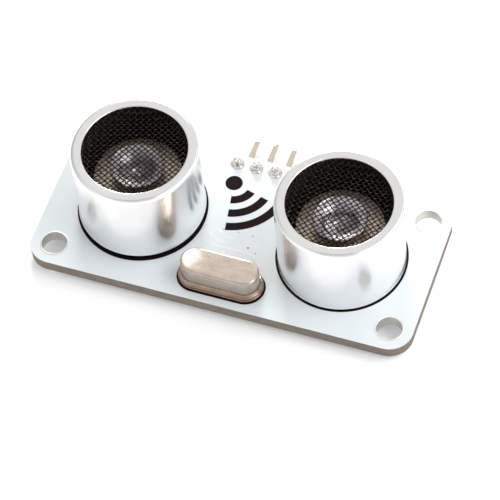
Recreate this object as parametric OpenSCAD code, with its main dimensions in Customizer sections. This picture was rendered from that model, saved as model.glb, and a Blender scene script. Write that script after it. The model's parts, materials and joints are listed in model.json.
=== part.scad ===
// Ultrasonic distance sensor module: a white circuit board that carries a transmitting and a
// receiving transducer, a quartz crystal, a four-pin right-angle header and, on its underside,
// the driver, the microcontroller, the echo amplifier and their small parts.
//
// Frame: the origin is the centre of the four mounting holes on the board's underside. +Z points
// from the board to the transducers' mouths, +X along the board from transmitter to receiver,
// and +Y to the edge that the header pins stick out of.

/* [Circuit board] */
// Length of the board along X
board_l = 50; // [49:0.5:60]
// Width of the board along Y
board_w = 22.5; // [22:0.5:30]
// Thickness of the board
board_t = 1.6; // [1:0.2:2.4]
// Radius of the board's corners
corner_r = 3; // [1:0.5:4]
// Thickness of the printed ink
ink_t = 0.03; // [0.02:0.01:0.04]
// Thickness of the copper pads
copper_t = 0.04; // [0.02:0.01:0.06]

/* [Mounting holes] */
// Clear diameter of each plated hole
hole_d = 3.2; // [2.2:0.1:3.4]
// Outer diameter of the tinned ring around each hole
hole_pad_d = 3.6; // [3.5:0.1:4.2]
// Distance from the hole centres to the board's edges
hole_inset = 3; // [2.5:0.25:3.5]

/* [Transducers] */
// Outer diameter of a transducer can
can_d = 16; // [15.5:0.1:16.5]
// Height of a can
can_h = 11.6; // [11:0.2:13]
// Thickness of the can's aluminium sheet
can_wall = 0.4; // [0.3:0.05:0.5]
// Diameter of the mouth
mouth_d = 13.2; // [12.6:0.1:13.6]
// Distance between the two transducers' axes
can_spacing = 26.4; // [26:0.2:27.5]
// Offset of both axes from the board's middle along Y
can_offset_y = 0.25; // [-0.5:0.05:0.5]
// Gap under the transmitter's can, which is seated a little high
transmitter_gap = 0.7; // [0.1:0.1:1]
// Gap under the receiver's can
receiver_gap = 0.15; // [0.1:0.05:0.5]
// Spacing of a transducer's two terminals
terminal_spacing = 10; // [9.8:0.1:10.4]
// Diameter of a terminal
terminal_d = 0.9; // [0.6:0.1:1]

/* [Wire screen] */
// Pitch of the screen's wires
mesh_pitch = 0.56; // [0.5:0.01:1]
// Width of a wire
mesh_wire = 0.2; // [0.16:0.01:0.24]
// Thickness of the woven screen
mesh_t = 0.35; // [0.2:0.05:0.4]
// Turn of the transmitter's screen about its axis
transmitter_mesh_turn = 62; // [0:1:90]
// Turn of the receiver's screen about its axis
receiver_mesh_turn = 49; // [0:1:90]

/* [Vibrator] */
// Diameter of the vibrating plate
plate_d = 11; // [10.8:0.1:11.4]
// Depth of the plate's face below the mouth
plate_depth = 5.4; // [5:0.1:6.2]
// Diameter of the cone's rim
cone_d = 6.8; // [6:0.1:9]
// Height of the cone
cone_h = 2; // [1.2:0.1:2.4]
// Diameter of the piezo disc
piezo_d = 6.4; // [5:0.1:6.6]

/* [Crystal] */
// Length of the crystal's flange
crystal_l = 11.05; // [10.5:0.05:11.2]
// Width of the crystal's flange
crystal_w = 4.65; // [4.4:0.05:4.8]
// Height of the crystal's can above the board
crystal_h = 3.5; // [3.2:0.1:4.5]
// Distance of the crystal from the board's middle, towards the front edge
crystal_y = -7.65; // [-7.8:0.05:-7.5]
// Spacing of the crystal's two leads
crystal_lead_pitch = 4.88; // [4.8:0.02:5]

/* [Header] */
// Pitch of the header pins
pin_pitch = 2.54; // [2.5:0.01:2.6]
// Side of a square pin
pin_w = 0.64; // [0.5:0.02:0.7]
// Distance of the pin row from the board's middle
header_y = 9.85; // [9.3:0.05:9.9]
// Side of the moulded block's square section
block_w = 2.54; // [2.4:0.02:2.6]
// How far the legs' axis lies below the board
leg_drop = 3.1; // [3:0.1:3.6]
// Distance of the legs' tips from the board's middle
leg_reach = 17.3; // [15:0.1:20]

/* [Underside parts] */
// Length of the two fourteen-lead chips
chip14_l = 8.65; // [8.6:0.05:8.8]
// Length of the sixteen-lead driver chip
chip16_l = 9.9; // [9.8:0.05:10]
// Width of a chip's body
chip_w = 3.9; // [3.8:0.05:4]
// Height of a chip's body
chip_h = 1.35; // [1.2:0.05:1.5]
// Distance between the middles of neighbouring chips
chip_spacing = 7.6; // [7.4:0.1:7.8]
// Length of a chip resistor or capacitor
chip_part_l = 1.6; // [1.5:0.1:1.7]
// Width of a chip resistor or capacitor
chip_part_w = 0.8; // [0.7:0.1:0.9]

/* [Hidden] */
$fn = 64;

transmitter = -1;
receiver = 1;
pin_count = 4;
clear = 0.05;
overlap = 1;

// Mounting holes
hole_x = board_l / 2 - hole_inset;
hole_y = board_w / 2 - hole_inset;
plating_t = 0.05;

// Transducer, measured up from the foot of its can
can_r = can_d / 2;
can_in_r = can_r - can_wall;
can_round = 0.5;
foot_lip_r = can_in_r - 0.4;
foot_lip_t = 0.3;
base_r = can_in_r - clear;
base_in_r = base_r - 0.65;
base_floor_z = 3.2;
mesh_top_z = can_h - can_wall;
mesh_bottom_z = mesh_top_z - mesh_t;
mesh_r = can_in_r - 0.12;
plate_t = 0.2;
plate_top_z = can_h - plate_depth;
plate_bottom_z = plate_top_z - plate_t;
silicone_t = 0.25;
pedestal_top_z = plate_bottom_z - silicone_t;
pedestal_out_r = 4.3;
pedestal_in_r = 3.5;
wire_slot_w = 0.6;
piezo_t = 0.4;
cone_t = 0.15;
cone_foot_r = 0.9;
cone_hole_r = 0.3;
terminal_top_z = 4.1;
terminal_tail = 1.1;
lead_wire_r = 0.09;
ring_out_r = 8.31;
ring_in_r = 7.3;

// Crystal, measured up from its seat
crystal_seat_z = board_t + ink_t + 0.02;
crystal_straight = crystal_l - crystal_w;
crystal_base_t = 0.4;
crystal_flange_top_z = 0.85;
crystal_shell_t = 0.25;
crystal_shell_r = crystal_w / 2 - 0.42;
crystal_top_z = crystal_h - ink_t - 0.02;
crystal_round = 0.3;
crystal_plug_top_z = 0.9;
crystal_lead_r = 0.215;
glass_r = 0.7;
crystal_lead_top_z = 1.2;
clip_w = 0.9;
clip_t = 0.1;
clip_h = 0.8;
blank_l = 7.4;
blank_h = 1.5;
blank_t = 0.2;
blank_z = crystal_lead_top_z + clip_t;
electrode_l = 4;
electrode_h = 1.1;
electrode_t = 0.02;
outline_w = 0.6;
outline_margin = 0.2;

// Header
header_rows = [for (i = [0 : pin_count - 1]) (i - (pin_count - 1) / 2) * pin_pitch];
pin_top_z = board_t + 1.1;
bend_in_r = 0.25;
bend_out_r = bend_in_r + pin_w;
tip_taper = 0.22;
header_hole_r = 0.5;
header_pad_r = 0.86;
solder_top_z = 1.0;

// Underside
chip_pitch = 1.27;
chip_gap = 0.12;
lead_w = 0.42;
lead_t = 0.2;
lead_reach = 3;
lead_z = 0.62;
chip_y = -0.3;
via_r = 0.15;
via_spots = [[1.7, -2.05], [9.5, -5.5], [-9.4, 5.4], [-18.4, 5.6], [16.5, -6]];
chip_part_h = 0.45;
end_l = 0.3;
end_t = 0.02;
transistor_spot = [18.6, 0.2];

// Chip resistors stand in a row along the front edge and in a column beside the transmitter,
// and chip capacitors in a row behind the chips and in a column beside the receiver.
resistor_spots = [for (side = [-1, 1], i = [0 : 3]) [side * (6.6 + 3 * i), -9.3, 0],
                  for (i = [0 : 3]) [-18.4, -3.9 + 2.6 * i, 0]];
capacitor_spots = [for (side = [-1, 1], i = [0 : 1]) [side * (8.4 + 2.6 * i), 7.3, 90],
                   for (side = [-1, 1]) [side * 3.8, -6.4, 90],
                   for (i = [0 : 1]) [18.6, -4.2 + 8.6 * i, 0]];

function gap_of(side) = side == transmitter ? transmitter_gap : receiver_gap;

// ---- shared shapes ----

module at_mounting_holes() {
  for (sx = [-1, 1], sy = [-1, 1]) translate([sx * hole_x, sy * hole_y, 0]) children();
}

module at_transducer(side) {
  translate([side * can_spacing / 2, can_offset_y, board_t + gap_of(side)]) children();
}

module at_terminals() {
  for (sy = [-1, 1]) translate([0, sy * terminal_spacing / 2, 0]) children();
}

module at_crystal() {
  translate([0, crystal_y, crystal_seat_z]) children();
}

module at_crystal_leads() {
  for (sx = [-1, 1]) translate([sx * crystal_lead_pitch / 2, 0, 0]) children();
}

module at_header_pins() {
  for (x = header_rows) translate([x, header_y, 0]) children();
}

// Turns a part that is drawn standing up so that it hangs from the board's underside
module below(spot) {
  translate([spot[0], spot[1], -copper_t]) mirror([0, 0, 1])
    rotate([0, 0, len(spot) > 2 ? spot[2] : 0]) children();
}

module rounded_plate(l, w, r, h) {
  linear_extrude(h) {
    square([l - 2 * r, w], center = true);
    square([l, w - 2 * r], center = true);
    for (sx = [-1, 1], sy = [-1, 1]) translate([sx * (l / 2 - r), sy * (w / 2 - r)]) circle(r);
  }
}

module ring(out_r, in_r, h) {
  difference() {
    cylinder(h = h, r = out_r);
    translate([0, 0, -overlap]) cylinder(h = h + 2 * overlap, r = in_r);
  }
}

module racetrack_2d(straight, r) {
  square([straight, 2 * r], center = true);
  for (sx = [-1, 1]) translate([sx * straight / 2, 0]) circle(r);
}

// Carries a half profile, drawn with X as the distance from the middle, round a racetrack
module racetrack(straight) {
  for (turn = [0, 180])
    rotate([0, 0, turn]) {
      translate([straight / 2, 0, 0]) rotate([0, 0, -90]) rotate_extrude(angle = 180) children();
      rotate([90, 0, 90]) linear_extrude(straight, center = true) children();
    }
}

// Solder that rises from a round pad to a pin, drawn standing up, less the pin itself
module solder_fillet(pad_r, neck_r, h) {
  difference() {
    rotate_extrude() polygon([
      [0, 0], [pad_r, 0], [pad_r, 0.06], [pad_r * 0.86, 0.16 * h],
      [neck_r + 0.24 * (pad_r - neck_r), 0.55 * h], [neck_r, h], [0, h]]);
    children();
  }
}

// ---- circuit board ----

module circuit_board() {
  color("whitesmoke") difference() {
    rounded_plate(board_l, board_w, corner_r, board_t);
    translate([0, 0, -overlap]) {
      at_mounting_holes() cylinder(h = board_t + 2 * overlap, r = hole_d / 2 + plating_t);
      for (side = [transmitter, receiver])
        translate([side * can_spacing / 2, can_offset_y, 0])
          at_terminals() cylinder(h = board_t + 2 * overlap, d = terminal_d + 0.3);
      translate([0, crystal_y, 0])
        at_crystal_leads() cylinder(h = board_t + 2 * overlap, r = crystal_lead_r + 0.15);
      at_header_pins() cylinder(h = board_t + 2 * overlap, r = header_hole_r);
      for (spot = via_spots) translate(spot) cylinder(h = board_t + 2 * overlap, r = via_r);
    }
  }
}

module mounting_hole_eyelets() {
  color("silver") at_mounting_holes() difference() {
    union() {
      cylinder(h = board_t, r = hole_d / 2 + plating_t);
      for (z = [-copper_t, board_t]) translate([0, 0, z]) cylinder(h = copper_t, d = hole_pad_d);
    }
    translate([0, 0, -overlap]) cylinder(h = board_t + 2 * overlap, d = hole_d);
  }
}

// A dot with three arcs that spread from it
module wave_mark_2d() {
  dot_r = 1.1;
  arc_w = 1.1;
  arc_gap = 0.95;
  far = 12;
  translate([-3.3, 6.9]) {
    circle(dot_r);
    for (i = [0 : 2]) {
      in_r = dot_r + arc_gap + i * (arc_w + arc_gap);
      intersection() {
        difference() {
          circle(in_r + arc_w);
          circle(in_r);
        }
        polygon([[0, 0], [0.17 * far, -far], [far, -far], [far, -0.27 * far]]);
      }
    }
  }
}

module front_print() {
  color([0.14, 0.12, 0.12]) translate([0, 0, board_t]) {
    for (side = [transmitter, receiver])
      translate([side * can_spacing / 2, can_offset_y, 0]) ring(ring_out_r, ring_in_r, ink_t);
    translate([0, crystal_y, 0]) linear_extrude(ink_t) difference() {
      racetrack_2d(crystal_straight, crystal_w / 2 + outline_margin);
      racetrack_2d(crystal_straight, crystal_w / 2 + outline_margin - outline_w);
    }
    linear_extrude(ink_t) wave_mark_2d();
  }
}

// Outline printed between the pads of a chip, with a dot at its first lead
module chip_outline_2d(l) {
  line_w = 0.15;
  difference() {
    square([chip_w - 0.4, l], center = true);
    square([chip_w - 0.4 - 2 * line_w, l - 2 * line_w], center = true);
  }
  translate([-lead_reach - 0.1, l / 2 + 0.25]) circle(0.25);
}

module rear_print() {
  color([0.14, 0.12, 0.12]) translate([0, 0, -ink_t]) linear_extrude(ink_t) {
    translate([0, chip_y]) chip_outline_2d(chip14_l);
    translate([chip_spacing, chip_y]) chip_outline_2d(chip14_l);
    translate([-chip_spacing, chip_y]) chip_outline_2d(chip16_l);
  }
}

module lead_pads_2d(count) {
  for (side = [-1, 1], i = [0 : count / 2 - 1])
    translate([side * (lead_reach - 0.2), (i - (count / 2 - 1) / 2) * chip_pitch])
      square([1.2, 0.62], center = true);
}

module part_pads_2d(spots) {
  for (spot = spots) translate([spot[0], spot[1]]) rotate(spot[2])
    for (side = [-1, 1]) translate([side * 0.8, 0]) square([0.8, 0.95], center = true);
}

module rear_pads() {
  color("silver") translate([0, 0, -copper_t]) linear_extrude(copper_t) {
    translate([0, chip_y]) lead_pads_2d(14);
    translate([chip_spacing, chip_y]) lead_pads_2d(14);
    translate([-chip_spacing, chip_y]) lead_pads_2d(16);
    part_pads_2d(resistor_spots);
    part_pads_2d(capacitor_spots);
    translate(transistor_spot)
      for (spot = [[-0.95, -1.1], [0.95, -1.1], [0, 1.1]])
        translate(spot) square([0.7, 0.9], center = true);
  }
}

// ---- transducers ----

module can_profile() {
  translate([can_in_r, 0]) square([can_wall, can_h - can_round]);
  translate([mouth_d / 2, can_h - can_wall]) square([can_r - can_round - mouth_d / 2, can_wall]);
  translate([foot_lip_r, 0]) square([can_in_r - foot_lip_r + can_wall / 2, foot_lip_t]);
  intersection() {
    translate([can_r - can_round, can_h - can_round]) {
      difference() {
        circle(can_round);
        circle(can_round - can_wall);
      }
    }
    translate([can_r - can_round, can_h - can_round]) square(can_round);
  }
}

module can(side) {
  color("lightgray") at_transducer(side) rotate_extrude($fn = 128) can_profile();
}

// A flat disc with square openings at the screen's pitch and a plain border
module mesh(side, turn) {
  cells = floor(mesh_r / mesh_pitch);
  open_w = mesh_pitch - mesh_wire;
  open_r = mouth_d / 2 + 0.15 - open_w * sqrt(0.5);
  color([0.2, 0.19, 0.18]) at_transducer(side) translate([0, 0, mesh_bottom_z])
    rotate([0, 0, turn]) linear_extrude(mesh_t) difference() {
      circle(mesh_r);
      for (i = [-cells : cells], j = [-cells : cells])
        if (norm([i, j]) * mesh_pitch < open_r)
          translate([i, j] * mesh_pitch) square(open_w, center = true);
    }
}

// A black cup: its wall holds the screen against the can's mouth, and a pedestal with two wire
// slots carries the vibrator
module base(side) {
  color([0.1, 0.1, 0.1]) at_transducer(side) difference() {
    rotate_extrude() {
      translate([0, foot_lip_t]) square([base_r, base_floor_z - foot_lip_t]);
      translate([base_in_r, base_floor_z - 0.5])
        square([base_r - base_in_r, mesh_bottom_z - base_floor_z + 0.5]);
      translate([pedestal_in_r, base_floor_z - 0.5])
        square([pedestal_out_r - pedestal_in_r, pedestal_top_z - base_floor_z + 0.5]);
    }
    at_terminals() cylinder(h = base_floor_z + overlap, d = terminal_d);
    translate([-wire_slot_w / 2, -pedestal_out_r - 0.1, pedestal_top_z - 0.9])
      cube([wire_slot_w, 1, 1]);
  }
}

module plate(side) {
  color("burlywood") at_transducer(side) translate([0, 0, plate_bottom_z])
    cylinder(h = plate_t, d = plate_d);
}

module cone(side) {
  rim_r = cone_d / 2;
  color("gainsboro") at_transducer(side) translate([0, 0, plate_top_z])
    rotate_extrude($fn = 96) polygon([
      [cone_hole_r, 0], [cone_foot_r, 0],
      [rim_r * 0.62, cone_h * 0.5 - cone_t], [rim_r - cone_t, cone_h - cone_t],
      [rim_r, cone_h - cone_t], [rim_r, cone_h],
      [rim_r - cone_t, cone_h], [rim_r * 0.6, cone_h * 0.5],
      [cone_foot_r - 0.05, cone_t], [cone_hole_r, cone_t]]);
}

module piezo_disc(side) {
  color("dimgray") at_transducer(side) translate([0, 0, plate_bottom_z - piezo_t])
    cylinder(h = piezo_t, d = piezo_d);
}

module silicone(side) {
  color("ivory") at_transducer(side) translate([0, 0, pedestal_top_z])
    ring(pedestal_out_r, pedestal_in_r, silicone_t);
}

module terminals(side) {
  tail_z = -board_t - gap_of(side) - terminal_tail;
  color("silver") at_transducer(side) at_terminals() {
    translate([0, 0, tail_z]) cylinder(h = terminal_top_z - tail_z, d = terminal_d);
  }
}

// One straight stretch of lead wire, with a solder bead at its start
module wire(from, to) {
  run = to - from;
  l = norm(run);
  translate(from) {
    sphere(1.3 * lead_wire_r, $fn = 24);
    rotate([0, acos(run[2] / l), atan2(run[1], run[0])]) cylinder(h = l, r = lead_wire_r, $fn = 24);
  }
}

// One wire rises to the plate's edge, and the other goes through the pedestal's slot to the disc
module lead_wires(side) {
  top = terminal_top_z + lead_wire_r;
  y = terminal_spacing / 2;
  slot_z = pedestal_top_z - 0.6;
  disc_z = plate_bottom_z - piezo_t - lead_wire_r;
  color("sienna") at_transducer(side) {
    wire([0, y - 0.1, top], [0, y, plate_bottom_z - lead_wire_r]);
    wire([0, -y + 0.1, top], [0, -y + 0.5, slot_z]);
    wire([0, -y + 0.5, slot_z], [0, -3.2, slot_z]);
    wire([0, -3.2, slot_z], [0, -2.4, disc_z]);
  }
}

module transducer_solder(side) {
  color("silver") translate([side * can_spacing / 2, can_offset_y, 0]) at_terminals() {
    mirror([0, 0, 1]) solder_fillet(1.25, terminal_d / 2 + 0.12, 0.95)
      translate([0, 0, -overlap]) cylinder(h = 2 + overlap, d = terminal_d);
    ring(terminal_d / 2 + 0.15, terminal_d / 2, board_t);
  }
}

module transmitter_can() { can(transmitter); }
module transmitter_mesh() { mesh(transmitter, transmitter_mesh_turn); }
module transmitter_base() { base(transmitter); }
module transmitter_plate() { plate(transmitter); }
module transmitter_cone() { cone(transmitter); }
module transmitter_piezo_disc() { piezo_disc(transmitter); }
module transmitter_silicone() { silicone(transmitter); }
module transmitter_terminals() { terminals(transmitter); }
module transmitter_lead_wires() { lead_wires(transmitter); }
module transmitter_solder() { transducer_solder(transmitter); }
module receiver_can() { can(receiver); }
module receiver_mesh() { mesh(receiver, receiver_mesh_turn); }
module receiver_base() { base(receiver); }
module receiver_plate() { plate(receiver); }
module receiver_cone() { cone(receiver); }
module receiver_piezo_disc() { piezo_disc(receiver); }
module receiver_silicone() { silicone(receiver); }
module receiver_terminals() { terminals(receiver); }
module receiver_lead_wires() { lead_wires(receiver); }
module receiver_solder() { transducer_solder(receiver); }

// ---- crystal ----

module crystal_can() {
  inner_r = crystal_shell_r - crystal_shell_t;
  flange_h = crystal_flange_top_z - crystal_base_t;
  color([0.8, 0.73, 0.65]) at_crystal() racetrack(crystal_straight) difference() {
    union() {
      translate([0, crystal_base_t]) square([crystal_w / 2 - flange_h / 2, flange_h]);
      translate([crystal_w / 2 - flange_h / 2, crystal_base_t + flange_h / 2]) circle(flange_h / 2);
      translate([0, crystal_base_t])
        square([crystal_shell_r, crystal_top_z - crystal_round - crystal_base_t]);
      translate([0, crystal_base_t])
        square([crystal_shell_r - crystal_round, crystal_top_z - crystal_base_t]);
      translate([crystal_shell_r - crystal_round, crystal_top_z - crystal_round])
        circle(crystal_round);
    }
    translate([-overlap, crystal_base_t - overlap])
      square([inner_r + overlap, crystal_top_z - crystal_shell_t - crystal_base_t + overlap]);
  }
}

module crystal_base() {
  plug_r = crystal_shell_r - crystal_shell_t - clear;
  color([0.72, 0.66, 0.6]) at_crystal() difference() {
    union() {
      linear_extrude(crystal_base_t) racetrack_2d(crystal_straight, crystal_w / 2);
      linear_extrude(crystal_plug_top_z) racetrack_2d(crystal_straight, plug_r);
    }
    at_crystal_leads() translate([0, 0, -overlap])
      cylinder(h = crystal_plug_top_z + 2 * overlap, r = glass_r);
  }
}

module crystal_glass_seals() {
  color("teal") at_crystal() at_crystal_leads() ring(glass_r, crystal_lead_r, crystal_plug_top_z);
}

module crystal_leads() {
  tail_z = -crystal_seat_z - 0.9;
  color("silver") at_crystal() at_crystal_leads()
    translate([0, 0, tail_z]) cylinder(h = crystal_lead_top_z - tail_z, r = crystal_lead_r);
}

// Spring clips that stand on the leads and reach out to grip the blank's two ends
module crystal_clips() {
  foot_x = crystal_lead_pitch / 2 - crystal_lead_r;
  tip_x = blank_l / 2 + clip_t;
  color("darkgray") at_crystal() for (turn = [0, 180])
    rotate([0, 0, turn]) translate([0, -clip_w / 2, crystal_lead_top_z]) {
      translate([foot_x, 0, 0]) cube([tip_x - foot_x, clip_w, clip_t]);
      translate([tip_x - clip_t, 0, 0]) cube([clip_t, clip_w, clip_h]);
    }
}

module crystal_quartz_blank() {
  color("lightcyan") at_crystal() translate([0, 0, blank_z + blank_h / 2])
    cube([blank_l, blank_t, blank_h], center = true);
}

module crystal_electrodes() {
  color("gold") at_crystal() for (sy = [-1, 1])
    translate([0, sy * (blank_t + electrode_t) / 2, blank_z + blank_h / 2])
      cube([electrode_l, electrode_t, electrode_h], center = true);
}

module crystal_solder() {
  color("silver") translate([0, crystal_y, 0]) at_crystal_leads() {
    mirror([0, 0, 1]) solder_fillet(0.8, crystal_lead_r + 0.1, 0.75)
      translate([0, 0, -overlap]) cylinder(h = 2 + overlap, r = crystal_lead_r);
    ring(crystal_lead_r + 0.15, crystal_lead_r, board_t);
  }
}

// ---- header ----

// Moulded block: one cell a pin, each with its corners cut off
module header_block() {
  cut = 0.35;
  half_x = pin_pitch / 2;
  half_y = block_w / 2;
  color([0.12, 0.12, 0.12]) translate([0, 0, -block_w]) difference() {
    at_header_pins() linear_extrude(block_w) polygon([
      [-half_x, -half_y + cut], [-half_x + cut, -half_y], [half_x - cut, -half_y],
      [half_x, -half_y + cut], [half_x, half_y - cut], [half_x - cut, half_y],
      [-half_x + cut, half_y], [-half_x, half_y - cut]]);
    at_header_pins() cube([pin_w, pin_w, 3 * block_w], center = true);
  }
}

// Side view of a bent pin, with X towards the tip and Y up, from the upright end's axis
module header_pin_2d() {
  half = pin_w / 2;
  bend_x = half + bend_in_r;
  bend_y = -leg_drop + half + bend_in_r;
  tip_x = leg_reach - header_y;
  polygon([
    [-half, bend_y], [half, bend_y], [half, pin_top_z - tip_taper],
    [half - tip_taper / 2, pin_top_z], [-half + tip_taper / 2, pin_top_z],
    [-half, pin_top_z - tip_taper]]);
  polygon([
    [bend_x, -leg_drop - half], [bend_x, -leg_drop + half],
    [tip_x - 2 * tip_taper, -leg_drop + half], [tip_x, -leg_drop + half - tip_taper],
    [tip_x, -leg_drop - half + tip_taper], [tip_x - 2 * tip_taper, -leg_drop - half]]);
  intersection() {
    translate([bend_x, bend_y]) difference() {
      circle(bend_out_r);
      circle(bend_in_r);
    }
    translate([-half, -leg_drop - half]) square(bend_out_r);
  }
}

module header_pins() {
  color([0.85, 0.78, 0.66]) at_header_pins()
    rotate([90, 0, 90]) linear_extrude(pin_w, center = true) header_pin_2d();
}

module header_solder() {
  color("silver") at_header_pins() {
    translate([0, 0, board_t]) solder_fillet(header_pad_r, pin_w / 2 + 0.14, solder_top_z)
      cube([pin_w, pin_w, 4 * solder_top_z], center = true);
    difference() {
      cylinder(h = board_t, r = header_hole_r);
      cube([pin_w, pin_w, 4 * board_t], center = true);
    }
  }
}

// ---- underside parts ----

// A chip's body: sides that lean in above and below the leads, and a dimple at the first lead
module chip_body(spot, l) {
  half = chip_w / 2;
  lean = 0.15;
  color([0.13, 0.13, 0.13]) below(spot) difference() {
    rotate([90, 0, 0]) linear_extrude(l, center = true) polygon([
      [-half + lean, chip_gap], [half - lean, chip_gap], [half, lead_z], [half, lead_z + lead_t],
      [half - lean, chip_gap + chip_h], [-half + lean, chip_gap + chip_h],
      [-half, lead_z + lead_t], [-half, lead_z]]);
    translate([-half + 0.9, l / 2 - 0.9, chip_gap + chip_h - 0.1]) cylinder(h = 1, r = 0.4);
  }
}

module chip_leads(spot, count) {
  half = chip_w / 2;
  color("silver") below(spot) for (side = [0, 1], i = [0 : count / 2 - 1])
    mirror([side, 0, 0]) translate([0, (i - (count / 2 - 1) / 2) * chip_pitch, 0])
      rotate([90, 0, 0]) linear_extrude(lead_w, center = true) polygon([
        [half, lead_z], [half + 0.25, lead_z], [half + 0.4, 0], [lead_reach, 0],
        [lead_reach, lead_t], [half + 0.56, lead_t], [half + 0.41, lead_z + lead_t],
        [half, lead_z + lead_t]]);
}

module microcontroller_body() { chip_body([0, chip_y], chip14_l); }
module microcontroller_leads() { chip_leads([0, chip_y], 14); }
module amplifier_body() { chip_body([chip_spacing, chip_y], chip14_l); }
module amplifier_leads() { chip_leads([chip_spacing, chip_y], 14); }
module driver_body() { chip_body([-chip_spacing, chip_y], chip16_l); }
module driver_leads() { chip_leads([-chip_spacing, chip_y], 16); }

module transistor_body() {
  color([0.13, 0.13, 0.13]) below(transistor_spot)
    translate([-1.45, -0.65, 0.1]) cube([2.9, 1.3, 1]);
}

module transistor_leads() {
  color("silver") below(transistor_spot)
    for (spot = [[-0.95, -1], [0.95, -1], [0, 1]]) translate([spot[0], 0, 0])
      rotate([90, 0, 90 * sign(spot[1])]) linear_extrude(0.4, center = true) polygon([
        [0.65, 0.45], [0.8, 0.45], [0.9, 0], [1.3, 0], [1.3, 0.12], [1, 0.12], [0.9, 0.57],
        [0.65, 0.57]]);
}

module part_bodies(spots, body_h) {
  for (spot = spots) below(spot)
    translate([-chip_part_l / 2 + end_t, -chip_part_w / 2 + end_t, end_t])
      cube([chip_part_l - 2 * end_t, chip_part_w - 2 * end_t, body_h - 2 * end_t]);
}

// Tinned caps that wrap both ends of a chip part
module part_ends(spots, body_h) {
  for (spot = spots) below(spot) difference() {
    for (side = [-1, 1]) translate([side * (chip_part_l - end_l) / 2, 0, body_h / 2])
      cube([end_l, chip_part_w, body_h], center = true);
    translate([-chip_part_l / 2 + end_t, -chip_part_w / 2 + end_t, end_t])
      cube([chip_part_l - 2 * end_t, chip_part_w - 2 * end_t, body_h - 2 * end_t]);
  }
}

module resistor_bodies() { color([0.16, 0.16, 0.17]) part_bodies(resistor_spots, chip_part_h); }
module resistor_ends() { color("silver") part_ends(resistor_spots, chip_part_h); }
module capacitor_bodies() { color("tan") part_bodies(capacitor_spots, 0.8); }
module capacitor_ends() { color("silver") part_ends(capacitor_spots, 0.8); }

circuit_board();
mounting_hole_eyelets();
front_print();
rear_print();
rear_pads();
transmitter_can();
transmitter_mesh();
transmitter_base();
transmitter_plate();
transmitter_cone();
transmitter_piezo_disc();
transmitter_silicone();
transmitter_terminals();
transmitter_lead_wires();
transmitter_solder();
receiver_can();
receiver_mesh();
receiver_base();
receiver_plate();
receiver_cone();
receiver_piezo_disc();
receiver_silicone();
receiver_terminals();
receiver_lead_wires();
receiver_solder();
crystal_can();
crystal_base();
crystal_glass_seals();
crystal_leads();
crystal_clips();
crystal_quartz_blank();
crystal_electrodes();
crystal_solder();
header_block();
header_pins();
header_solder();
microcontroller_body();
microcontroller_leads();
amplifier_body();
amplifier_leads();
driver_body();
driver_leads();
transistor_body();
transistor_leads();
resistor_bodies();
resistor_ends();
capacitor_bodies();
capacitor_ends();
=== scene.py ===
"""Looks of the ultrasonic distance sensor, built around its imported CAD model."""

import json
import math
import random

import bmesh
import bpy
from mathutils import Matrix, Vector


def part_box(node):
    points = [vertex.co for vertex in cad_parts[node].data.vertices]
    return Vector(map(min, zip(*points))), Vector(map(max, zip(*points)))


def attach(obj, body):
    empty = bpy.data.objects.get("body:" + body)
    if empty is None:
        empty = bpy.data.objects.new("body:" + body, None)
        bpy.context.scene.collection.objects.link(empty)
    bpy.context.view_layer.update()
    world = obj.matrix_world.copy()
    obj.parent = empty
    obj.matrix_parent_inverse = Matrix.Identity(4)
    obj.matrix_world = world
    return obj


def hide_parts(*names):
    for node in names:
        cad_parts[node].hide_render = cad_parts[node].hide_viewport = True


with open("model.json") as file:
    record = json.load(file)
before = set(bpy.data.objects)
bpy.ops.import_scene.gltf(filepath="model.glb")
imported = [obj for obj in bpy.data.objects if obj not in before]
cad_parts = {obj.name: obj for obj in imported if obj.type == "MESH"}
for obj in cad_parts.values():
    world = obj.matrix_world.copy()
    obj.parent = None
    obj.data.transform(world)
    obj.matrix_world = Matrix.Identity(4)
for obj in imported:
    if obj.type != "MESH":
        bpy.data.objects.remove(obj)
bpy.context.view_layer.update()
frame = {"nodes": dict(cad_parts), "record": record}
NODES = frame["nodes"]
MM = 0.001
SIDES = ("transmitter", "receiver")


# ---------------------------------------------------------------- places read from the frame


def middle(node):
    """Middle of a CAD node's box."""
    low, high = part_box(node)
    return (low + high) / 2


def solid_middles(node):
    """Middle of each separate solid of a CAD node, sorted along X and then Y."""
    mesh = NODES[node].data
    group = list(range(len(mesh.vertices)))

    def root(i):
        while group[i] != i:
            group[i] = group[group[i]]
            i = group[i]
        return i

    at_place = {}
    for v in mesh.vertices:
        key = tuple(round(c / (0.002 * MM)) for c in v.co)
        group[root(v.index)] = root(at_place.setdefault(key, v.index))
    for edge in mesh.edges:
        group[root(edge.vertices[0])] = root(edge.vertices[1])
    members = {}
    for v in mesh.vertices:
        members.setdefault(root(v.index), []).append(v.co)
    middles = []
    for points in members.values():
        low = Vector([min(p[k] for p in points) for k in range(3)])
        high = Vector([max(p[k] for p in points) for k in range(3)])
        middles.append((low + high) / 2)
    return sorted(middles, key=lambda p: (round(p.x, 5), round(p.y, 5)))


BOARD_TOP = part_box("circuit_board")[1].z
AXIS = {side: middle(side + "_can") for side in SIDES}
CAN_FOOT = {side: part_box(side + "_can")[0].z for side in SIDES}
CAN_TOP = {side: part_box(side + "_can")[1].z for side in SIDES}
CAN_R = (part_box("transmitter_can")[1].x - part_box("transmitter_can")[0].x) / 2
# Radius of the tiny cap that closes a profile on its axis
NEAR_AXIS = 0.001 * MM


# ---------------------------------------------------------------- materials


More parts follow.
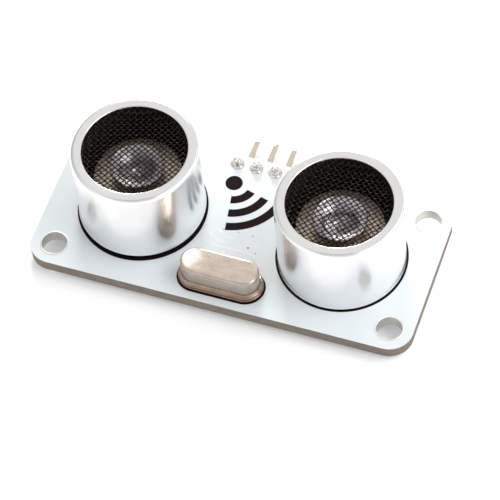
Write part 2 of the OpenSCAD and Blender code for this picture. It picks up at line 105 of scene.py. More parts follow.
class Tree:
    """A material's node tree, with short calls for the nodes that this scene uses."""

    def __init__(self, name):
        self.material = bpy.data.materials.new(name)
        self.material.use_nodes = True
        self.nodes = self.material.node_tree.nodes
        self.links = self.material.node_tree.links
        self.shader = self.nodes["Principled BSDF"]

    def set(self, socket, value):
        """Puts a number, a colour or another node's output on a socket of the shader."""
        self.put(self.shader.inputs[socket], value)

    def put(self, socket, value):
        """Puts a number, a colour or another node's output on any socket."""
        if isinstance(value, bpy.types.NodeSocket):
            self.links.new(value, socket)
        elif isinstance(value, (tuple, list)) and len(value) == 3 and socket.type == "RGBA":
            socket.default_value = (*value, 1)
        else:
            socket.default_value = value

    def place(self, scale=(1, 1, 1), origin=(0, 0, 0)):
        """Object coordinates in millimetres from origin, then scaled."""
        coords = self.nodes.new("ShaderNodeTexCoord").outputs["Object"]
        shift = self.nodes.new("ShaderNodeVectorMath")
        shift.operation = "SUBTRACT"
        self.put(shift.inputs[0], coords)
        shift.inputs[1].default_value = tuple(origin)
        mapping = self.nodes.new("ShaderNodeMapping")
        mapping.inputs["Scale"].default_value = tuple(s / MM for s in scale)
        self.put(mapping.inputs["Vector"], shift.outputs[0])
        return mapping.outputs["Vector"]

    def noise(self, where, scale=1.0, detail=3.0, roughness=0.5, distortion=0.0):
        node = self.nodes.new("ShaderNodeTexNoise")
        self.put(node.inputs["Vector"], where)
        node.inputs["Scale"].default_value = scale
        node.inputs["Detail"].default_value = detail
        node.inputs["Roughness"].default_value = roughness
        node.inputs["Distortion"].default_value = distortion
        return node.outputs["Fac"]

    def rings(self, where, scale, distortion=0.0):
        """Concentric lines about the Z axis."""
        node = self.nodes.new("ShaderNodeTexWave")
        node.wave_type = "RINGS"
        node.rings_direction = "Z"
        self.put(node.inputs["Vector"], where)
        node.inputs["Scale"].default_value = scale
        node.inputs["Distortion"].default_value = distortion
        node.inputs["Detail"].default_value = 2
        return node.outputs["Fac"]

    def math(self, operation, a, b=0.0):
        node = self.nodes.new("ShaderNodeMath")
        node.operation = operation
        self.put(node.inputs[0], a)
        self.put(node.inputs[1], b)
        return node.outputs[0]

    def span(self, value, low, high, to_low=0.0, to_high=1.0):
        """Maps value from low..high to to_low..to_high, held at both ends."""
        node = self.nodes.new("ShaderNodeMapRange")
        self.put(node.inputs["Value"], value)
        ends = {"From Min": low, "From Max": high, "To Min": to_low, "To Max": to_high}
        for name, number in ends.items():
            self.put(node.inputs[name], number)
        return node.outputs[0]

    def mix(self, factor, a, b):
        """Mixes two colours."""
        node = self.nodes.new("ShaderNodeMix")
        node.data_type = "RGBA"
        self.put(node.inputs["Factor"], factor)
        self.put(node.inputs["A"], a)
        self.put(node.inputs["B"], b)
        return node.outputs["Result"]

    def normal(self):
        """Separated X, Y and Z of the surface's own normal."""
        geometry = self.nodes.new("ShaderNodeNewGeometry")
        split = self.nodes.new("ShaderNodeSeparateXYZ")
        self.put(split.inputs[0], geometry.outputs["Normal"])
        return split.outputs

    def position(self):
        """Separated X, Y and Z of the object coordinates, in metres."""
        split = self.nodes.new("ShaderNodeSeparateXYZ")
        self.put(split.inputs[0], self.nodes.new("ShaderNodeTexCoord").outputs["Object"])
        return split.outputs

    def bump(self, value, depth_mm, strength=1.0, after=None):
        node = self.nodes.new("ShaderNodeBump")
        node.inputs["Strength"].default_value = strength
        node.inputs["Distance"].default_value = depth_mm * MM
        self.put(node.inputs["Height"], value)
        if after is not None:
            self.put(node.inputs["Normal"], after)
        self.put(self.shader.inputs["Normal"], node.outputs[0])
        return node.outputs[0]


def board_material():
    """Satin white solder mask on the faces, and the cut glass laminate on the edges."""
    t = Tree("white_solder_mask")
    facing = t.math("ABSOLUTE", t.normal()[2])
    edge = t.math("LESS_THAN", facing, 0.6)
    cloud = t.noise(t.place(), 0.12, 4, 0.6)
    white = t.mix(t.span(cloud, 0.35, 0.65), (0.60, 0.645, 0.67), (0.63, 0.67, 0.69))
    layers = t.noise(t.place((0.6, 0.6, 9)), 1.0, 4, 0.7)
    fibre = t.noise(t.place((3, 3, 40)), 1.0, 2, 0.5)
    laminate = t.mix(t.span(layers, 0.3, 0.7), (0.10, 0.078, 0.062), (0.23, 0.19, 0.155))
    laminate = t.mix(t.span(fibre, 0.5, 0.75, 0, 0.5), laminate, (0.34, 0.3, 0.25))
    t.set("Base Color", t.mix(edge, white, laminate))
    grain = t.noise(t.place(), 6, 3, 0.6)
    glossy = t.span(grain, 0.3, 0.7, 0.3, 0.42)
    t.set("Roughness", t.math("MAXIMUM", glossy, t.math("MULTIPLY", edge, 0.75)))
    t.set("Specular IOR Level", 0.5)
    t.bump(t.noise(t.place(), 1.6, 3, 0.5), 0.008)
    return t.material


def metal_material(name, colour, rough, grain_scale=4.0, depth_mm=0.004, tint=0.9):
    """A plain metal with cloudy colour, uneven gloss and a slight surface grain."""
    t = Tree(name)
    cloud = t.noise(t.place(), grain_scale * 0.25, 4, 0.6)
    dark = tuple(c * tint for c in colour)
    t.set("Base Color", t.mix(t.span(cloud, 0.35, 0.65), dark, colour))
    t.set("Metallic", 1.0)
    grain = t.noise(t.place(), grain_scale, 4, 0.6)
    t.set("Roughness", t.span(grain, 0.3, 0.7, rough * 0.75, rough * 1.3))
    t.bump(grain, depth_mm)
    return t.material


def can_material(side):
    """Polished drawn aluminium: faint upright drawing marks, and a satin rim round the mouth whose darker
    colour is painted shade.
    """
    t = Tree(side + "_can_metal")
    where = AXIS[side].copy()
    where.z = 0
    up = t.normal()[2]
    rim = t.span(up, 0.8, 0.97)
    cloud = t.noise(t.place((0.5, 0.5, 0.35), where), 1.0, 4, 0.6)
    marks = t.noise(t.place((7, 7, 0.25), where), 1.0, 3, 0.6)
    sheet = t.mix(t.span(cloud, 0.35, 0.7), (0.86, 0.865, 0.87), (0.9, 0.9, 0.903))
    # Upward faces get a darker colour: painted shade on the rim, which is the same aluminium as the wall.
    t.set("Base Color", t.mix(rim, sheet, (0.6, 0.597, 0.59)))
    t.set("Metallic", 1.0)
    wall = t.span(marks, 0.3, 0.75, 0.2, 0.28)
    face = t.span(cloud, 0.3, 0.7, 0.15, 0.2)
    blend = t.nodes.new("ShaderNodeMix")
    t.put(blend.inputs["Factor"], rim)
    t.put(blend.inputs["A"], wall)
    t.put(blend.inputs["B"], face)
    t.set("Roughness", blend.outputs["Result"])
    fine = t.noise(t.place((1, 1, 1), where), 9, 3, 0.6)
    first = t.bump(t.math("MULTIPLY", fine, rim), 0.01)
    second = t.bump(t.noise(t.place((0.9, 0.9, 0.3), where), 1.0, 2, 0.5), 0.012, 0.6, first)
    t.bump(marks, 0.0015, 1.0, second)
    return t.material


# Factors on each cone's brightness and roughness. The two cones are the same product, and the factors
# differ because their highlights differ in the photo; the brightness factor is painted light: a painted
# highlight on the receiver's cone and faint painted shade on the transmitter's.
CONE_LOOK = {"transmitter": (0.95, 1.75), "receiver": (1.38, 1.2)}


def cone_material(side):
    """Spun aluminium, with fine rings left by the tool."""
    t = Tree(side + "_cone_metal")
    where = AXIS[side].copy()
    where.z = 0
    rings = t.rings(t.place((1, 1, 1), where), 1.8, 0.4)
    cloud = t.noise(t.place(), 0.8, 3, 0.6)
    # The brightness factor scales the cone's colour as painted light, not as a difference in the metal.
    painted_light_factor, rougher = CONE_LOOK[side]
    dull = tuple(Vector((0.46, 0.425, 0.45)) * painted_light_factor)
    bright = tuple(Vector((0.58, 0.545, 0.56)) * painted_light_factor)
    t.set("Base Color", t.mix(t.span(cloud, 0.3, 0.7), dull, bright))
    t.set("Metallic", 1.0)
    t.set("Roughness", t.span(rings, 0, 1, 0.16 * rougher, 0.24 * rougher))
    t.bump(rings, 0.006)
    return t.material


def plain_material(name, colour, rough, grain_scale=6.0, depth_mm=0.006, second=None, level=0.5):
    """A non-metal with a mottled colour, uneven gloss and a fine grain."""
    t = Tree(name)
    cloud = t.noise(t.place(), grain_scale * 0.3, 4, 0.6)
    grain = t.noise(t.place(), grain_scale, 4, 0.65)
    second = second or tuple(c * 1.5 for c in colour)
    t.set("Base Color", t.mix(t.span(cloud, 0.35, 0.7), colour, second))
    t.set("Roughness", t.span(grain, 0.3, 0.7, rough * 0.85, min(1, rough * 1.15)))
    t.set("Specular IOR Level", level)
    t.bump(grain, depth_mm)
    return t.material


def glass_material(name, colour, rough):
    """A clear solid with a slight haze."""
    t = Tree(name)
    haze = t.noise(t.place(), 3, 3, 0.5)
    t.set("Base Color", t.mix(t.span(haze, 0.3, 0.7), colour, tuple(c * 0.85 for c in colour)))
    t.set("Roughness", t.span(haze, 0.3, 0.7, rough, rough * 1.6))
    t.set("Transmission Weight", 0.85)
    t.set("IOR", 1.5)
    t.bump(haze, 0.003)
    return t.material


def solder_material():
    """Flowed tin: bright, with frosted patches and slight ripples."""
    t = Tree("flowed_solder")
    frost = t.noise(t.place(), 2.2, 4, 0.7)
    t.set("Base Color", t.mix(t.span(frost, 0.35, 0.65), (0.8, 0.775, 0.72), (0.58, 0.555, 0.505)))
    t.set("Metallic", 1.0)
    t.set("Roughness", t.span(frost, 0.3, 0.7, 0.17, 0.32))
    t.bump(t.noise(t.place(), 3.5, 3, 0.5, 0.3), 0.012)
    return t.material


def crystal_material():
    """Warm nickel with a satin grain, darker and browner at the flange as a painted reflection of the dark
    surroundings.
    """
    t = Tree("crystal_nickel")
    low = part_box("crystal_can")[0]
    flange = t.span(t.position()[2], low.z + 0.35 * MM, low.z + 0.6 * MM, 1, 0)
    cloud = t.noise(t.place((0.5, 1, 1)), 1.2, 4, 0.6)
    grain = t.noise(t.place((1, 3, 3)), 4, 4, 0.6)
    shell = t.mix(t.span(cloud, 0.35, 0.65), (0.44, 0.37, 0.315), (0.52, 0.445, 0.385))
    # The flange's darker brown colour is a painted reflection of the dark surroundings near the horizon.
    flange_painted_reflection = t.mix(t.span(cloud, 0.35, 0.65), (0.18, 0.115, 0.08), (0.32, 0.22, 0.165))
    t.set("Base Color", t.mix(flange, shell, flange_painted_reflection))
    t.set("Metallic", 1.0)
    t.set("Roughness", t.span(grain, 0.3, 0.7, 0.19, 0.29))
    t.bump(grain, 0.004)
    return t.material


MATERIALS = {
    "solder_mask": board_material(),
    "tin_plating": metal_material("tin_plating", (0.66, 0.645, 0.62), 0.4),
    "print_ink": plain_material("printed_ink", (0.0075, 0.0035, 0.004), 0.55, 8, 0.004, level=0.05),
    "via_plug": plain_material("via_plug", (0.36, 0.37, 0.39), 0.5, 8, 0.004),
    # The dark plug of the open via is painted shade in its hole.
    "via_hollow": plain_material("via_hollow", (0.08, 0.085, 0.09), 0.5, 8, 0.004),
    "screen_wire": metal_material("screen_wire", (0.024, 0.018, 0.015), 0.1, 12, 0.002),
    "black_moulding": plain_material("black_moulding", (0.006, 0.006, 0.006), 0.6, 5, 0.01, level=0.3),
    "vibrator_brass": metal_material("vibrator_brass", (0.92, 0.77, 0.64), 0.36),
    "piezo_ceramic": plain_material("piezo_ceramic", (0.25, 0.24, 0.22), 0.6, 5, 0.01),
    "silicone": plain_material("cured_silicone", (0.82, 0.81, 0.76), 0.35, 2, 0.02),
    "tinned_wire": metal_material("tinned_wire", (0.76, 0.75, 0.72), 0.26),
    "enamelled_copper": metal_material("enamelled_copper", (0.72, 0.32, 0.16), 0.2),
    "solder": solder_material(),
    "crystal_nickel": crystal_material(),
    "seal_glass": glass_material("seal_glass", (0.2, 0.45, 0.42), 0.08),
    "clip_steel": metal_material("clip_steel", (0.6, 0.6, 0.6), 0.3),
    "quartz": glass_material("quartz", (0.95, 0.97, 0.98), 0.2),
    "electrode_silver": metal_material("electrode_silver", (0.88, 0.87, 0.85), 0.25),
    "header_plastic": plain_material("header_plastic", (0.012, 0.012, 0.013), 0.42, 5, 0.008),
    "pin_gold": metal_material("pin_gold", (0.57, 0.5, 0.42), 0.11, 3, 0.0005, 0.92),
    "chip_epoxy": plain_material("chip_epoxy", (0.014, 0.014, 0.015), 0.6, 14, 0.012),
    "chip_lead_tin": metal_material("chip_lead_tin", (0.72, 0.72, 0.71), 0.3),
    "resistor_ceramic": plain_material("resistor_ceramic", (0.018, 0.018, 0.02), 0.3, 6, 0.004),
    "capacitor_ceramic": plain_material("capacitor_ceramic", (0.36, 0.24, 0.14), 0.55, 7, 0.008,
                                        (0.42, 0.29, 0.18)),
    "end_cap_tin": metal_material("end_cap_tin", (0.74, 0.74, 0.72), 0.32),
}
CAN_METAL = {side: can_material(side) for side in SIDES}
CONE_METAL = {side: cone_material(side) for side in SIDES}


# ---------------------------------------------------------------- mesh building


def new_piece(name, mesh, material, replaces=()):
    """Puts a finished mesh in the scene as a smooth piece of the sensor."""
    mesh.materials.append(material)
    for face in mesh.polygons:
        face.use_smooth = True
    piece = bpy.data.objects.new(name, mesh)
    bpy.context.scene.collection.objects.link(piece)
    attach(piece, "root")
    if replaces:
        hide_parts(*replaces)
    return piece


def mesh_from(bm, name):
    """Turns a bmesh into a mesh whose faces all look outwards, and frees it."""
    mesh = bpy.data.meshes.new(name)
    bmesh.ops.recalc_face_normals(bm, faces=bm.faces)
    bm.to_mesh(mesh)
    bm.free()
    return mesh


def arc(centre, radius, start, end, steps):
    """Points of a round stretch of an outline, angles in degrees."""
    angles = [math.radians(start + (end - start) * i / steps) for i in range(steps + 1)]
    return [(centre[0] + radius * math.cos(a), centre[1] + radius * math.sin(a)) for a in angles]


def loft(bm, loops, closed_profile=False, cap_start=False, cap_end=False):
    """Joins closed loops of equal length with quads."""
    rows = [[bm.verts.new(p) for p in loop] for loop in loops]
    pairs = list(zip(rows, rows[1:]))
    if closed_profile:
        pairs.append((rows[-1], rows[0]))
    count = len(rows[0])
    for a, b in pairs:
        for i in range(count):
            j = (i + 1) % count
            bm.faces.new((a[i], a[j], b[j], b[i]))
    if cap_start:
        bm.faces.new(list(reversed(rows[0])))
    if cap_end:
        bm.faces.new(rows[-1])


def racetrack_loop(r, z, straight, segments, centre):
    """A closed loop at distance r round a straight stretch along X; straight 0 gives a circle."""
    points = []
    half = segments // 2
    per_end = half + 1 if straight else half
    for end, start in ((1, -90), (-1, 90)):
        for i in range(per_end):
            a = math.radians(start + 180 * i / half)
            x = end * straight / 2 + r * math.cos(a)
            points.append((centre[0] + x, centre[1] + r * math.sin(a), z))
    return points


def turned(bm, profile, centre, segments, straight=0.0, closed=True):
    """Carries a profile of (distance, height) pairs round an axis or a racetrack."""
    loops = [racetrack_loop(r, z, straight, segments, centre) for r, z in profile]
    if closed:
        loft(bm, loops, closed_profile=True)
    else:
        loft(bm, loops, cap_start=True, cap_end=True)


def can_piece(side):
    """The drawn can: straight wall, rounded shoulder, flat rim and a rolled edge at the mouth."""
    foot, top = CAN_FOOT[side], CAN_TOP[side]
    wall, shoulder, mouth_r = 0.4 * MM, 0.5 * MM, 6.6 * MM
    inner_r = CAN_R - wall
    lip, flare = 0.12 * MM, 0.09 * MM
    hem_top, hem_corner = foot + 0.3 * MM, 0.06 * MM
    hem_r = inner_r - wall
    profile = [(inner_r, hem_top), (hem_r, hem_top), (hem_r, foot + hem_corner)]
    profile += [(hem_r + hem_corner, foot), (CAN_R + flare - 0.05 * MM, foot)]
    profile += [(CAN_R + flare * (1 - h / 6) ** 2, foot + (0.04 + 0.08 * h) * MM) for h in range(7)]
    profile += arc((CAN_R - shoulder, top - shoulder), shoulder, 0, 86, 12)
    profile += [(CAN_R - shoulder - 0.1 * MM, top - 0.004 * MM), (mouth_r + 2.4 * lip, top - 0.02 * MM)]
    profile += arc((mouth_r + lip, top - 0.03 * MM - lip), lip, 90, 180, 6)
    profile += [(mouth_r, top - wall), (inner_r, top - wall)]
    bm = bmesh.new()
    turned(bm, profile, AXIS[side], 192)
    new_piece(side + "_can_shell", mesh_from(bm, side + "_can_shell"), CAN_METAL[side],
              [side + "_can"])


def wire_sections(path, radius, sides):
    """Rings of points round a path that lies mostly along one direction."""
    rings = []
    for i, p in enumerate(path):
        ahead, behind = path[min(i + 1, len(path) - 1)], path[max(i - 1, 0)]
        along = (ahead - behind).normalized()
        across = along.cross(Vector((0, 0, 1))).normalized()
        up = across.cross(along)
        ring = []
        for k in range(sides):
            a = 2 * math.pi * k / sides
            ring.append(p + across * (radius * math.cos(a)) + up * (radius * math.sin(a)))
        rings.append(ring)
    return rings


# Turn of each screen's weave about the can's axis, in degrees, and the seed of its uneven spacing
SCREEN_TURN = {"transmitter": 62, "receiver": 49}
SCREEN_SEED = {"transmitter": 7, "receiver": 11}


def screen_piece(side):
    """The woven screen: two sets of bent wires, pressed into a shallow dish under the rim."""
    pitch, radius, per_cell, sides = 0.56 * MM, 0.08 * MM, 6, 6
    reach, flat_r, dish = 7.15 * MM, 5.7 * MM, 0.5 * MM
    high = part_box(side + "_mesh")[1].z
    swing = 0.085 * MM
    level = high - dish - swing - radius
    spin = Matrix.Rotation(math.radians(SCREEN_TURN[side]), 3, "Z")
    centre = Vector((AXIS[side].x, AXIS[side].y, level))
    count = int(reach / pitch)
    uneven = random.Random(SCREEN_SEED[side])
    bm = bmesh.new()
    for layer in (0, 1):
        for i in range(-count, count + 1):
            offset = (i + 0.5) * pitch + uneven.uniform(-0.02, 0.02) * MM
            if abs(offset) > reach - 0.2 * MM:
                continue
            half = math.sqrt(reach ** 2 - offset ** 2)
            steps = max(4, int(2 * half / pitch * per_cell))
            path = []
            for k in range(steps + 1):
                s = -half + 2 * half * k / steps
                phase = math.pi * (s / pitch - 0.5) + math.pi * (i + layer)
                out = max(0, (math.hypot(s, offset) - flat_r) / (reach - flat_r))
                z = swing * math.cos(phase) + dish * min(1, 1.5 * out) ** 1.3
                flat = Vector((s, offset, 0)) if layer == 0 else Vector((offset, s, 0))
                path.append(centre + spin @ (flat + Vector((0, 0, z))))
            loft(bm, wire_sections(path, radius, sides), cap_start=True, cap_end=True)
    new_piece(side + "_screen", mesh_from(bm, side + "_screen"), MATERIALS["screen_wire"],
              [side + "_mesh"])


def cone_piece(side):
    """The spun cone: a shallow funnel with a rolled edge and a small hole in its foot."""
    low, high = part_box(side + "_cone")
    edge_r = (high.x - low.x) / 2
    sheet, roll = 0.14 * MM, 0.13 * MM
    hole_r, foot_r, mouth_r = 0.32 * MM, 0.85 * MM, edge_r - 0.3 * MM
    height = high.z - low.z
    steps, bulge = 16, 2.25
    inner = [(hole_r, low.z + sheet), (foot_r, low.z + sheet)]
    for k in range(1, steps + 1):
        share = k / steps
        r = foot_r + (mouth_r - foot_r) * share
        z = low.z + sheet + (height - 2 * sheet) * (1 - (1 - share) ** bulge)
        inner.append((r, z))
    outer = [(r + 0.02 * MM, z - sheet) for r, z in reversed(inner)]
    rolled = arc((edge_r - roll, high.z - roll), roll, 100, -80, 8)
    bm = bmesh.new()
    turned(bm, inner + rolled + outer, AXIS[side], 128)
    new_piece(side + "_funnel", mesh_from(bm, side + "_funnel"), CONE_METAL[side],
              [side + "_cone"])


def crystal_part(name, node, profile, centre, straight):
    """One half of the crystal's case, from a profile that ends on the middle line."""
    bm = bmesh.new()
    turned(bm, profile, centre, 64, straight, closed=False)
    new_piece(name, mesh_from(bm, name), MATERIALS["crystal_nickel"], [node])


def crystal_pieces():
    """The crystal's case: a filleted shell on a rounded, welded flange."""
    low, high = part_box("crystal_can")
    base_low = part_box("crystal_base")[0]
    centre = (low + high) / 2
    width = high.y - low.y
    straight = high.x - low.x - width
    edge_r = width / 2
    shell_r = edge_r - 0.42 * MM
    seam = low.z
    flange_top = base_low.z + 0.85 * MM
    bulge = (flange_top - seam) / 2
    top = high.z
    can = [(NEAR_AXIS, seam + 0.01 * MM), (edge_r - bulge - 0.04 * MM, seam + 0.01 * MM)]
    can += arc((edge_r - bulge, seam + bulge), bulge, -80, 62, 10)
    can += arc((shell_r + 0.1 * MM, flange_top + 0.12 * MM), 0.1 * MM, 250, 180, 6)
    can += [(shell_r, flange_top + 0.3 * MM), (shell_r - 0.03 * MM, top - 0.36 * MM)]
    can += arc((shell_r - 0.29 * MM, top - 0.27 * MM), 0.26 * MM, 4, 84, 9)
    can += [(shell_r - 0.62 * MM, top - 0.006 * MM), (NEAR_AXIS, top)]
    crystal_part("crystal_shell", "crystal_can", can, centre, straight)
    rim = 0.17 * MM
    base = [(NEAR_AXIS, base_low.z)]
    base += arc((edge_r - rim, base_low.z + rim), rim, -90, 70, 8)
    base += [(edge_r - 0.3 * MM, seam), (NEAR_AXIS, seam)]
    crystal_part("crystal_foot", "crystal_base", base, centre, straight)


# Outline of a header joint above the board: radius and height, in millimetres
JOINT_OUTLINE = [
    (0.86, 0), (0.855, 0.07), (0.8, 0.12), (0.69, 0.25), (0.6, 0.45), (0.53, 0.7), (0.47, 0.9),
    (0.36, 1.04), (0.2, 1.13), (0.02, 1.15),
]


def header_solder_piece():
    """One flowed joint at each header pin, each leaning and rippled a little differently."""
    stem_r, around = 0.6 * MM, 32
    profile = [(stem_r, 0), (stem_r, BOARD_TOP)]
    profile += [(r * MM, BOARD_TOP + z * MM) for r, z in JOINT_OUTLINE]
    bm = bmesh.new()
    uneven = random.Random(3)
    for spot in solid_middles("header_solder"):
        lean = (uneven.uniform(-0.05, 0.05) * MM, uneven.uniform(-0.05, 0.05) * MM)
        phase = uneven.uniform(0, 6.28)
        loops = []
        for r, z in profile:
            rise = max(0, z - BOARD_TOP) / MM
            loop = []
            for i in range(around):
                a = 2 * math.pi * i / around
                wave = 1 + 0.05 * math.sin(2 * a + phase) * min(1, rise)
                x = spot.x + lean[0] * rise + r * wave * math.cos(a)
                y = spot.y + lean[1] * rise + r * wave * math.sin(a)
                loop.append((x, y, z))
            loops.append(loop)
        loft(bm, loops, cap_start=True, cap_end=True)
    new_piece("header_joints", mesh_from(bm, "header_joints"), MATERIALS["solder"],
              ["header_solder"])


def eyelet_piece():
    """The tinned barrel of each mounting hole, with its rounded lips on both faces."""
    low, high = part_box("mounting_hole_eyelets")
    bore, pad, lip = 1.6 * MM, 1.8 * MM, 0.07 * MM
    skin, pad_t = 0.05 * MM, 0.035 * MM
    bm = bmesh.new()
    for spot in solid_middles("mounting_hole_eyelets"):
        inner = arc((bore + lip, high.z - lip), lip, 90, 180, 5)
        inner += arc((bore + lip, low.z + lip), lip, 180, 270, 5)
        outer = [(pad, low.z), (pad, low.z + pad_t), (bore + skin, low.z + pad_t)]
        outer += [(bore + skin, high.z - pad_t), (pad, high.z - pad_t), (pad, high.z - 0.01 * MM),
                  (pad - 0.02 * MM, high.z)]
        turned(bm, inner + outer, spot, 64)
    new_piece("hole_barrels", mesh_from(bm, "hole_barrels"), MATERIALS["tin_plating"],
              ["mounting_hole_eyelets"])


def eased_piece(node, slot, width):
    """A CAD node's own shape with its sharp edges rounded off."""
    bm = bmesh.new()
    bm.from_mesh(NODES[node].data)
    bmesh.ops.remove_doubles(bm, verts=bm.verts, dist=0.001 * MM)
    bmesh.ops.dissolve_limit(bm, angle_limit=math.radians(2), verts=bm.verts, edges=bm.edges)
    sharp = [e for e in bm.edges if e.is_manifold and e.calc_face_angle(0) > math.radians(30)]
    bmesh.ops.bevel(bm, geom=sharp, offset=width, offset_type="OFFSET", segments=2, profile=0.5,
                    affect="EDGES", clamp_overlap=True)
    bmesh.ops.triangulate(bm, faces=bm.faces)
    mesh = mesh_from(bm, node + "_eased")
    piece = new_piece(node + "_eased", mesh, MATERIALS[slot], [node])
    mesh.set_sharp_from_angle(angle=math.radians(32))
    shading = piece.modifiers.new("even_shading", "WEIGHTED_NORMAL")
    shading.mode = "FACE_AREA"
    shading.weight = 100
    shading.keep_sharp = True


# Nodes shown as eased copies: node, material slot, and the width of the rounding in millimetres
EASED = [
    ("header_block", "header_plastic", 0.1),
    ("header_pins", "pin_gold", 0.05),
    ("amplifier_body", "chip_epoxy", 0.06),
    ("microcontroller_body", "chip_epoxy", 0.06),
    ("driver_body", "chip_epoxy", 0.06),
    ("transistor_body", "chip_epoxy", 0.05),
    ("amplifier_leads", "chip_lead_tin", 0.03),
    ("microcontroller_leads", "chip_lead_tin", 0.03),
    ("driver_leads", "chip_lead_tin", 0.03),
    ("transistor_leads", "chip_lead_tin", 0.03),
    ("resistor_bodies", "resistor_ceramic", 0.03),
    ("resistor_ends", "end_cap_tin", 0.04),
    ("capacitor_bodies", "capacitor_ceramic", 0.04),
    ("capacitor_ends", "end_cap_tin", 0.05),
]


def rounded_route(points, radius):
    """Points of a route whose corners are rounded to the radius."""
    route = [Vector(points[0])]
    for before, corner, after in zip(points, points[1:], points[2:]):
        before, corner, after = Vector(before), Vector(corner), Vector(after)
        reach = min(radius, (corner - before).length / 2, (after - corner).length / 2)
        start = corner + (before - corner).normalized() * reach
        end = corner + (after - corner).normalized() * reach
        for k in range(7):
            t = k / 6
            route.append(start * (1 - t) ** 2 + corner * 2 * t * (1 - t) + end * t ** 2)
    route.append(Vector(points[-1]))
    return route


# Copper tracks under the front mask: width, then the corners of the route, all in millimetres
FRONT_TRACKS = [
    (0.35, [(-4.8, -0.2), (-2.6, -2.2), (1.7, -2.2)]),
    (0.35, [(-5, -1.4), (-3.6, -2.9), (2.4, -2.9), (3.4, -3.8)]),
    (0.35, [(-3.4, 0.4), (-1.7, -1.4), (0.6, -1.4)]),
    (0.35, [(-2.6, 1), (-1.2, -0.5), (1.1, -0.6)]),
    (0.4, [(3.6, -0.8), (2.2, -1.9), (2.2, -3)]),
]
# Covered vias of the front; the first one is open, and its hole is shown as a dark plug, which is painted
# shade.
FRONT_DIMPLES = [(1.6, -2), (-0.32, -0.13), (1.58, -0.13), (2.76, -2.48), (-2.24, -0.12)]


def track_piece():
    """The faint ridges that the front copper leaves in the white mask."""
    swell = 0.012 * MM
    bm = bmesh.new()
    for width, corners in FRONT_TRACKS:
        route = rounded_route([(x * MM, y * MM, BOARD_TOP) for x, y in corners], 0.9 * MM)
        half = width * MM / 2
        loops = []
        for i, p in enumerate(route):
            sunk = 2.5 * swell if i in (0, len(route) - 1) else 0
            along = (route[min(i + 1, len(route) - 1)] - route[max(i - 1, 0)]).normalized()
            across = Vector((-along.y, along.x, 0))
            section = []
            for share, lift in ((-2.3, -1.6), (-1.7, -0.1), (-1.2, 0.3), (-0.6, 0.85), (0, 1), (0.6, 0.85),
                                (1.2, 0.3), (1.7, -0.1), (2.3, -1.6)):
                section.append(p + across * half * share + Vector((0, 0, swell * lift - sunk)))
            section.append(p - Vector((0, 0, 3 * swell + sunk)))
            loops.append(section)
        loft(bm, loops, cap_start=True, cap_end=True)
    new_piece("front_tracks", mesh_from(bm, "front_tracks"), MATERIALS["solder_mask"])


def dimple_pieces():
    """Small covered vias: a low ring of mask round a sunk plug, which is dark where it is open, as painted
    shade in the open hole.
    """
    rings, plugs = bmesh.new(), {"via_plug": bmesh.new(), "via_hollow": bmesh.new()}
    z = BOARD_TOP
    for i, (x, y) in enumerate(FRONT_DIMPLES):
        centre = Vector((x * MM, y * MM, 0))
        profile = [(0.3 * MM, z - 0.01 * MM), (0.28 * MM, z + 0.004 * MM), (0.2 * MM, z + 0.009 * MM),
                   (0.14 * MM, z + 0.005 * MM), (0.12 * MM, z - 0.008 * MM)]
        turned(rings, profile, centre, 32)
        profile = [(NEAR_AXIS, z - 0.01 * MM), (0.13 * MM, z - 0.01 * MM), (0.13 * MM, z + 0.004 * MM),
                   (NEAR_AXIS, z + 0.002 * MM)]
        turned(plugs["via_plug" if i else "via_hollow"], profile, centre, 24, closed=False)
    new_piece("via_rings", mesh_from(rings, "via_rings"), MATERIALS["solder_mask"])
    for name, bm in plugs.items():
        new_piece(name + "s", mesh_from(bm, name + "s"), MATERIALS[name])


# ---------------------------------------------------------------- CAD nodes that keep their shape


def paint_cad_nodes():
    """Gives every CAD node its material, by the record's slot; cans and cones have one per side."""
    per_side = {side + "_can": CAN_METAL[side] for side in SIDES}
    per_side |= {side + "_cone": CONE_METAL[side] for side in SIDES}
    for row in frame["record"]["subparts"]:
        name = row["node"]
        materials = NODES[name].data.materials
        materials.clear()
        materials.append(per_side[name] if name in per_side else MATERIALS[row["material_slot"]])


# ---------------------------------------------------------------- camera, floor and light


def add_camera():
    """The photo's viewpoint, as worked out from the rims, the board's corners and the holes."""
    aim = Vector((1.94, -2.21, 1.6)) * MM
    azimuth, elevation, roll = math.radians(23.71), math.radians(55.98), math.radians(-5.87)
    distance = 345.6 * MM
    back = Vector((math.sin(azimuth) * math.cos(elevation), -math.cos(azimuth) * math.cos(elevation),
                   math.sin(elevation)))
    data = bpy.data.cameras.new("camera")
    data.lens = 199.4
    data.sensor_width = 36
    data.clip_start, data.clip_end = 0.01, 10
    camera = bpy.data.objects.new("camera", data)
    camera.location = aim + back * distance
    look = (-back).to_track_quat("-Z", "Y").to_matrix()
    camera.rotation_euler = (look @ Matrix.Rotation(roll, 3, "Z")).to_euler()
    bpy.context.scene.collection.objects.link(camera)
    bpy.context.scene.camera = camera


def resting_line():
    """Height and slope along Y of the plane that the module rests on, from its lower outline."""
    points = set()
    for node in NODES.values():
        points |= {(round(v.co.y, 5), v.co.z) for v in node.data.vertices}
    hull = []
    for p in sorted(points):
        while len(hull) > 1 and ((hull[-1][0] - hull[-2][0]) * (p[1] - hull[-2][1])
                                 <= (hull[-1][1] - hull[-2][1]) * (p[0] - hull[-2][0])):
            hull.pop()
        hull.append(p)
    for (y0, z0), (y1, z1) in zip(hull, hull[1:]):
        if y0 <= 0 <= y1:
            slope = (z1 - z0) / (y1 - y0)
            return z0 - slope * y0, slope
    raise ValueError("no resting line under the middle")


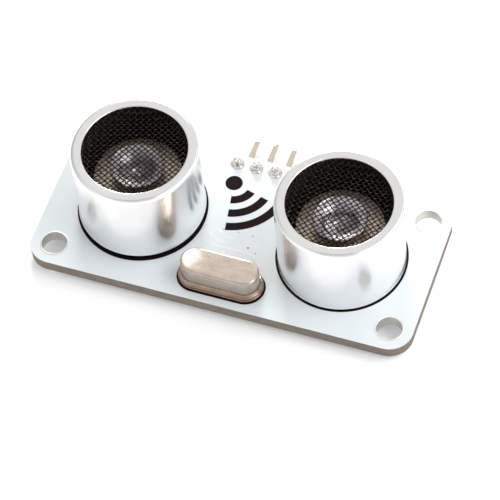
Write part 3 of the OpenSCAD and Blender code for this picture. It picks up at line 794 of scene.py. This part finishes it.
def add_floor():
    """A pale floor in the resting plane. Its faint glow keeps the shadows as pale as in the photo."""
    height, slope = resting_line()
    half = 1.5
    bm = bmesh.new()
    corners = ((-half, -half), (half, -half), (half, half), (-half, half))
    bm.faces.new([bm.verts.new((x, y, height + slope * y)) for x, y in corners])
    mesh = bpy.data.meshes.new("floor")
    bm.to_mesh(mesh)
    bm.free()
    t = Tree("pale_floor")
    t.set("Base Color", (0.76, 0.76, 0.76))
    t.set("Roughness", 0.6)
    t.set("Emission Color", (1, 1, 1))
    t.set("Emission Strength", 0.14)
    mesh.materials.append(t.material)
    floor = bpy.data.objects.new("floor", mesh)
    bpy.context.scene.collection.objects.link(floor)


def add_softbox(name, place, size, power, colour=(1, 1, 1)):
    """A rectangular lamp that looks at the middle of the board."""
    data = bpy.data.lights.new(name, "AREA")
    data.shape = "RECTANGLE"
    data.size, data.size_y = size
    data.energy = power
    data.color = colour
    light = bpy.data.objects.new(name, data)
    light.location = place
    light.rotation_euler = (-Vector(place)).to_track_quat("-Z", "Y").to_euler()
    bpy.context.scene.collection.objects.link(light)


def add_light():
    """A white studio with two softboxes: a key one high at the right, a smaller warm one behind.

    The studio is dimmer round the camera, at the left, at the back and near the horizon.
    """
    world = bpy.data.worlds.new("studio")
    world.use_nodes = True
    nodes, links = world.node_tree.nodes, world.node_tree.links

    def fade(value, numbers):
        """Maps value between two limits to two strengths, all four in numbers."""
        node = nodes.new("ShaderNodeMapRange")
        links.new(value, node.inputs["Value"])
        for name, number in zip(("From Min", "From Max", "To Min", "To Max"), numbers):
            node.inputs[name].default_value = number
        return node.outputs[0]

    direction = nodes.new("ShaderNodeTexCoord").outputs["Generated"]
    dot = nodes.new("ShaderNodeVectorMath")
    dot.operation = "DOT_PRODUCT"
    links.new(direction, dot.inputs[0])
    dot.inputs[1].default_value = Vector((0.23, -0.52, 0.82)).normalized()
    split = nodes.new("ShaderNodeSeparateXYZ")
    links.new(direction, split.inputs[0])
    strength = fade(dot.outputs["Value"], (0.60, 0.90, 1.4, 0.67))
    for axis, numbers in (("X", (-0.9, -0.3, 0.5, 1.0)), ("Y", (-0.8, 0.8, 1.18, 0.82)),
                          ("Z", (0.03, 0.32, 0.45, 1.0))):
        product = nodes.new("ShaderNodeMath")
        product.operation = "MULTIPLY"
        links.new(strength, product.inputs[0])
        links.new(fade(split.outputs[axis], numbers), product.inputs[1])
        strength = product.outputs[0]
    background = nodes["Background"]
    links.new(strength, background.inputs["Strength"])
    background.inputs["Color"].default_value = (0.97, 0.97, 0.97, 1)
    bpy.context.scene.world = world
    add_softbox("key", (0.18, 0.02, 0.23), (0.2, 0.14), 0.46)
    add_softbox("rear", (-0.09, 0.245, 0.148), (0.08, 0.042), 0.5, (1, 0.96, 0.88))
    bpy.context.scene.view_settings.view_transform = "Standard"


paint_cad_nodes()
for side in SIDES:
    can_piece(side)
    screen_piece(side)
    cone_piece(side)
crystal_pieces()
header_solder_piece()
eyelet_piece()
for node, slot, width in EASED:
    eased_piece(node, slot, width * MM)
track_piece()
dimple_pieces()
add_camera()
add_floor()
add_light()
